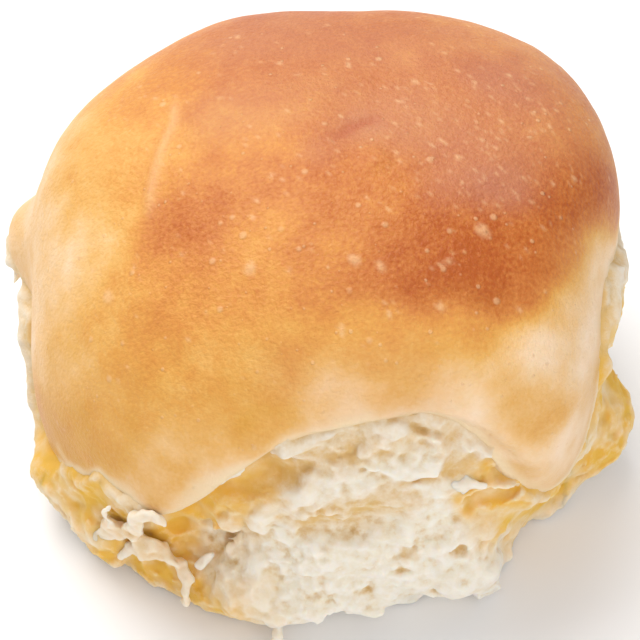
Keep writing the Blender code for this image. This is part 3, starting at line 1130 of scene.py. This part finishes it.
def crust_material():
    """Browning with flecks and blotches, with a painted sheen on the crown and painted shade in front,
    buttery in places, with pale blisters, a painted highlight along the crease and a fine grain.
    """
    nodes = Nodes("crust_look")
    browning = nodes.attribute("browning")
    flecks = nodes.swing(nodes.noise(size_mm=0.5, detail=5.0), amount=0.6)
    level = nodes.math("ADD", browning, nodes.math("MULTIPLY", flecks, browning))
    blotches = nodes.swing(nodes.noise(size_mm=2.2, detail=3.0), amount=0.22)
    colour = nodes.ramp(nodes.math("ADD", level, blotches), BROWNING_COLOURS)
    # Painted sheen on the crown and painted shade on the front
    colour = nodes.mix(nodes.scaled("painted_sheen_and_shade", 0.6), colour, PAINTED_SHEEN_AND_SHADE_COLOUR)
    colour = nodes.mix(nodes.scaled("butter_and_shade", 0.6), colour, BUTTER_COLOUR)
    specks = nodes.math("MAXIMUM", nodes.specks(spacing_mm=1.3), nodes.specks(spacing_mm=2.4))
    # Pale specks and blisters, and the painted highlight along the crease
    pale = nodes.math("MAXIMUM", nodes.math("MULTIPLY", specks, 0.8), nodes.attribute("blister"))
    colour = nodes.mix(nodes.math("MULTIPLY", pale, 0.52), colour, BLISTER_COLOUR)
    colour = nodes.mix(nodes.scaled("split", 0.75), colour, SPLIT_COLOUR)
    colour = nodes.mix(nodes.attribute("torn"), colour, TORN_COLOUR)
    nodes.join(colour, nodes.shader.inputs["Base Color"])
    grain = nodes.noise(size_mm=0.55, detail=4.0, roughness=0.6)
    height = nodes.math("ADD", grain, nodes.math("MULTIPLY", specks, 0.4))
    nodes.join(nodes.bump(height, distance_mm=0.3, strength=0.75), nodes.shader.inputs["Normal"])
    nodes.set({
        "Roughness": 0.45,
        "Specular IOR Level": 0.35,
        "Subsurface Weight": 0.12,
        "Subsurface Radius": (1.0, 0.5, 0.25),
        "Subsurface Scale": 1.5 * METRES,
    })
    return nodes.material


def crumb_material():
    """Pale crumb with painted shade, darker in its hollows, with tan, painted shade and butter that show most
    there, and a fine grain.
    """
    nodes = Nodes("crumb_look")
    pores = nodes.swing(nodes.noise(size_mm=0.7, detail=5.0, roughness=0.65), amount=1.0)
    blotches = nodes.swing(nodes.noise(size_mm=1.9, detail=3.0), amount=0.7)
    # Painted shade in the hollows, with random pores and blotches
    depth = nodes.math("ADD", nodes.scaled("hollow", 1.4), pores)
    depth = nodes.math("ADD", depth, blotches)
    colour = nodes.ramp(nodes.math("ADD", depth, 0.24), CRUMB_COLOURS)
    # Tan and painted shade, strongest in the hollows
    pocket = nodes.math("ADD", nodes.math("MULTIPLY", depth, 0.9), 0.75, clamp=True)
    colour = nodes.mix(nodes.math("MULTIPLY", nodes.attribute("tan_and_shade"), pocket), colour, TAN_AND_SHADE_COLOUR)
    # Butter and warm painted shade, less on the ridges
    butter_share = nodes.math("ADD", nodes.math("MULTIPLY", depth, 0.8), 1.08, clamp=True)
    colour = nodes.mix(nodes.math("MULTIPLY", nodes.attribute("butter_and_shade"), butter_share), colour, SOAKED_AND_SHADE_COLOUR)
    nodes.join(colour, nodes.shader.inputs["Base Color"])
    grain = nodes.noise(size_mm=0.5, detail=5.0, roughness=0.75)
    nodes.join(nodes.bump(grain, distance_mm=0.35, strength=0.6), nodes.shader.inputs["Normal"])
    nodes.join(nodes.attribute("soft"), nodes.shader.inputs["Subsurface Weight"])
    nodes.set({
        "Roughness": 0.75,
        "Specular IOR Level": 0.25,
        "Subsurface Radius": (1.0, 0.85, 0.65),
        "Subsurface Scale": 0.8 * METRES,
    })
    return nodes.material


# ---------------------------------------------------------------- studio

# The camera, in degrees and metres: its elevation, its distance, and the width and middle of what it sees
VIEW_ELEVATION = 50.0
VIEW_DISTANCE = 0.32
VIEW_WIDTH = 0.080
VIEW_AIM = Vector((-0.0009, 0.0, 0.0175))
SENSOR_WIDTH = 36.0

# The lights: place, width, power and colour
LIGHTS = {
    "key": ((-0.20, 0.30, 0.56), 0.55, 4.6, (1.0, 0.98, 0.95)),
    "fill": ((0.15, -0.50, 0.4), 0.60, 2.0, (1.0, 0.99, 0.98)),
}
SKY_COLOUR = (1.0, 0.99, 0.98, 1.0)
SKY_STRENGTH = 0.5
FLOOR_COLOUR = (240, 240, 242)
FLOOR_ROUGHNESS = 0.6
FLOOR_REACH = 1.5


def make_camera():
    elevation = math.radians(VIEW_ELEVATION)
    back = Vector((0.0, -math.cos(elevation), math.sin(elevation)))
    data = bpy.data.cameras.new("camera")
    data.sensor_width = SENSOR_WIDTH
    data.lens = SENSOR_WIDTH * VIEW_DISTANCE / VIEW_WIDTH
    data.clip_start = 0.01
    camera = add_object("camera", data)
    camera.location = VIEW_AIM + back * VIEW_DISTANCE
    camera.rotation_euler = back.to_track_quat("Z", "Y").to_euler()
    bpy.context.scene.camera = camera


def make_light(name, place, size, power, colour):
    data = bpy.data.lights.new(name, "AREA")
    data.size = size
    data.energy = power
    data.color = colour
    light = add_object(name, data)
    light.location = place
    light.rotation_euler = Vector(place).to_track_quat("Z", "Y").to_euler()


def make_floor():
    nodes = Nodes("floor")
    nodes.set({"Base Color": linear(*FLOOR_COLOUR), "Roughness": FLOOR_ROUGHNESS})
    corners = [(x * FLOOR_REACH, y * FLOOR_REACH, 0.0) for x, y in ((-1, -1), (1, -1), (1, 1), (-1, 1))]
    data = bpy.data.meshes.new("floor")
    data.from_pydata(corners, [], [(0, 1, 2, 3)])
    data.materials.append(nodes.material)
    floor = add_object("floor", data)


def make_studio():
    world = bpy.data.worlds.new("world")
    world.use_nodes = True
    background = world.node_tree.nodes["Background"]
    background.inputs["Color"].default_value = SKY_COLOUR
    background.inputs["Strength"].default_value = SKY_STRENGTH
    bpy.context.scene.world = world
    for name, (place, size, power, colour) in LIGHTS.items():
        make_light(name, place, size, power, colour)
    make_floor()
    bpy.context.scene.view_settings.view_transform = "Standard"


make_studio()
make_camera()
make_crust()
CRUMB = crumb_material()
for zone in CRUMB_ZONES:
    make_crumb(zone, CRUMB)
for shred in SHREDS:
    make_shred(shred, CRUMB)
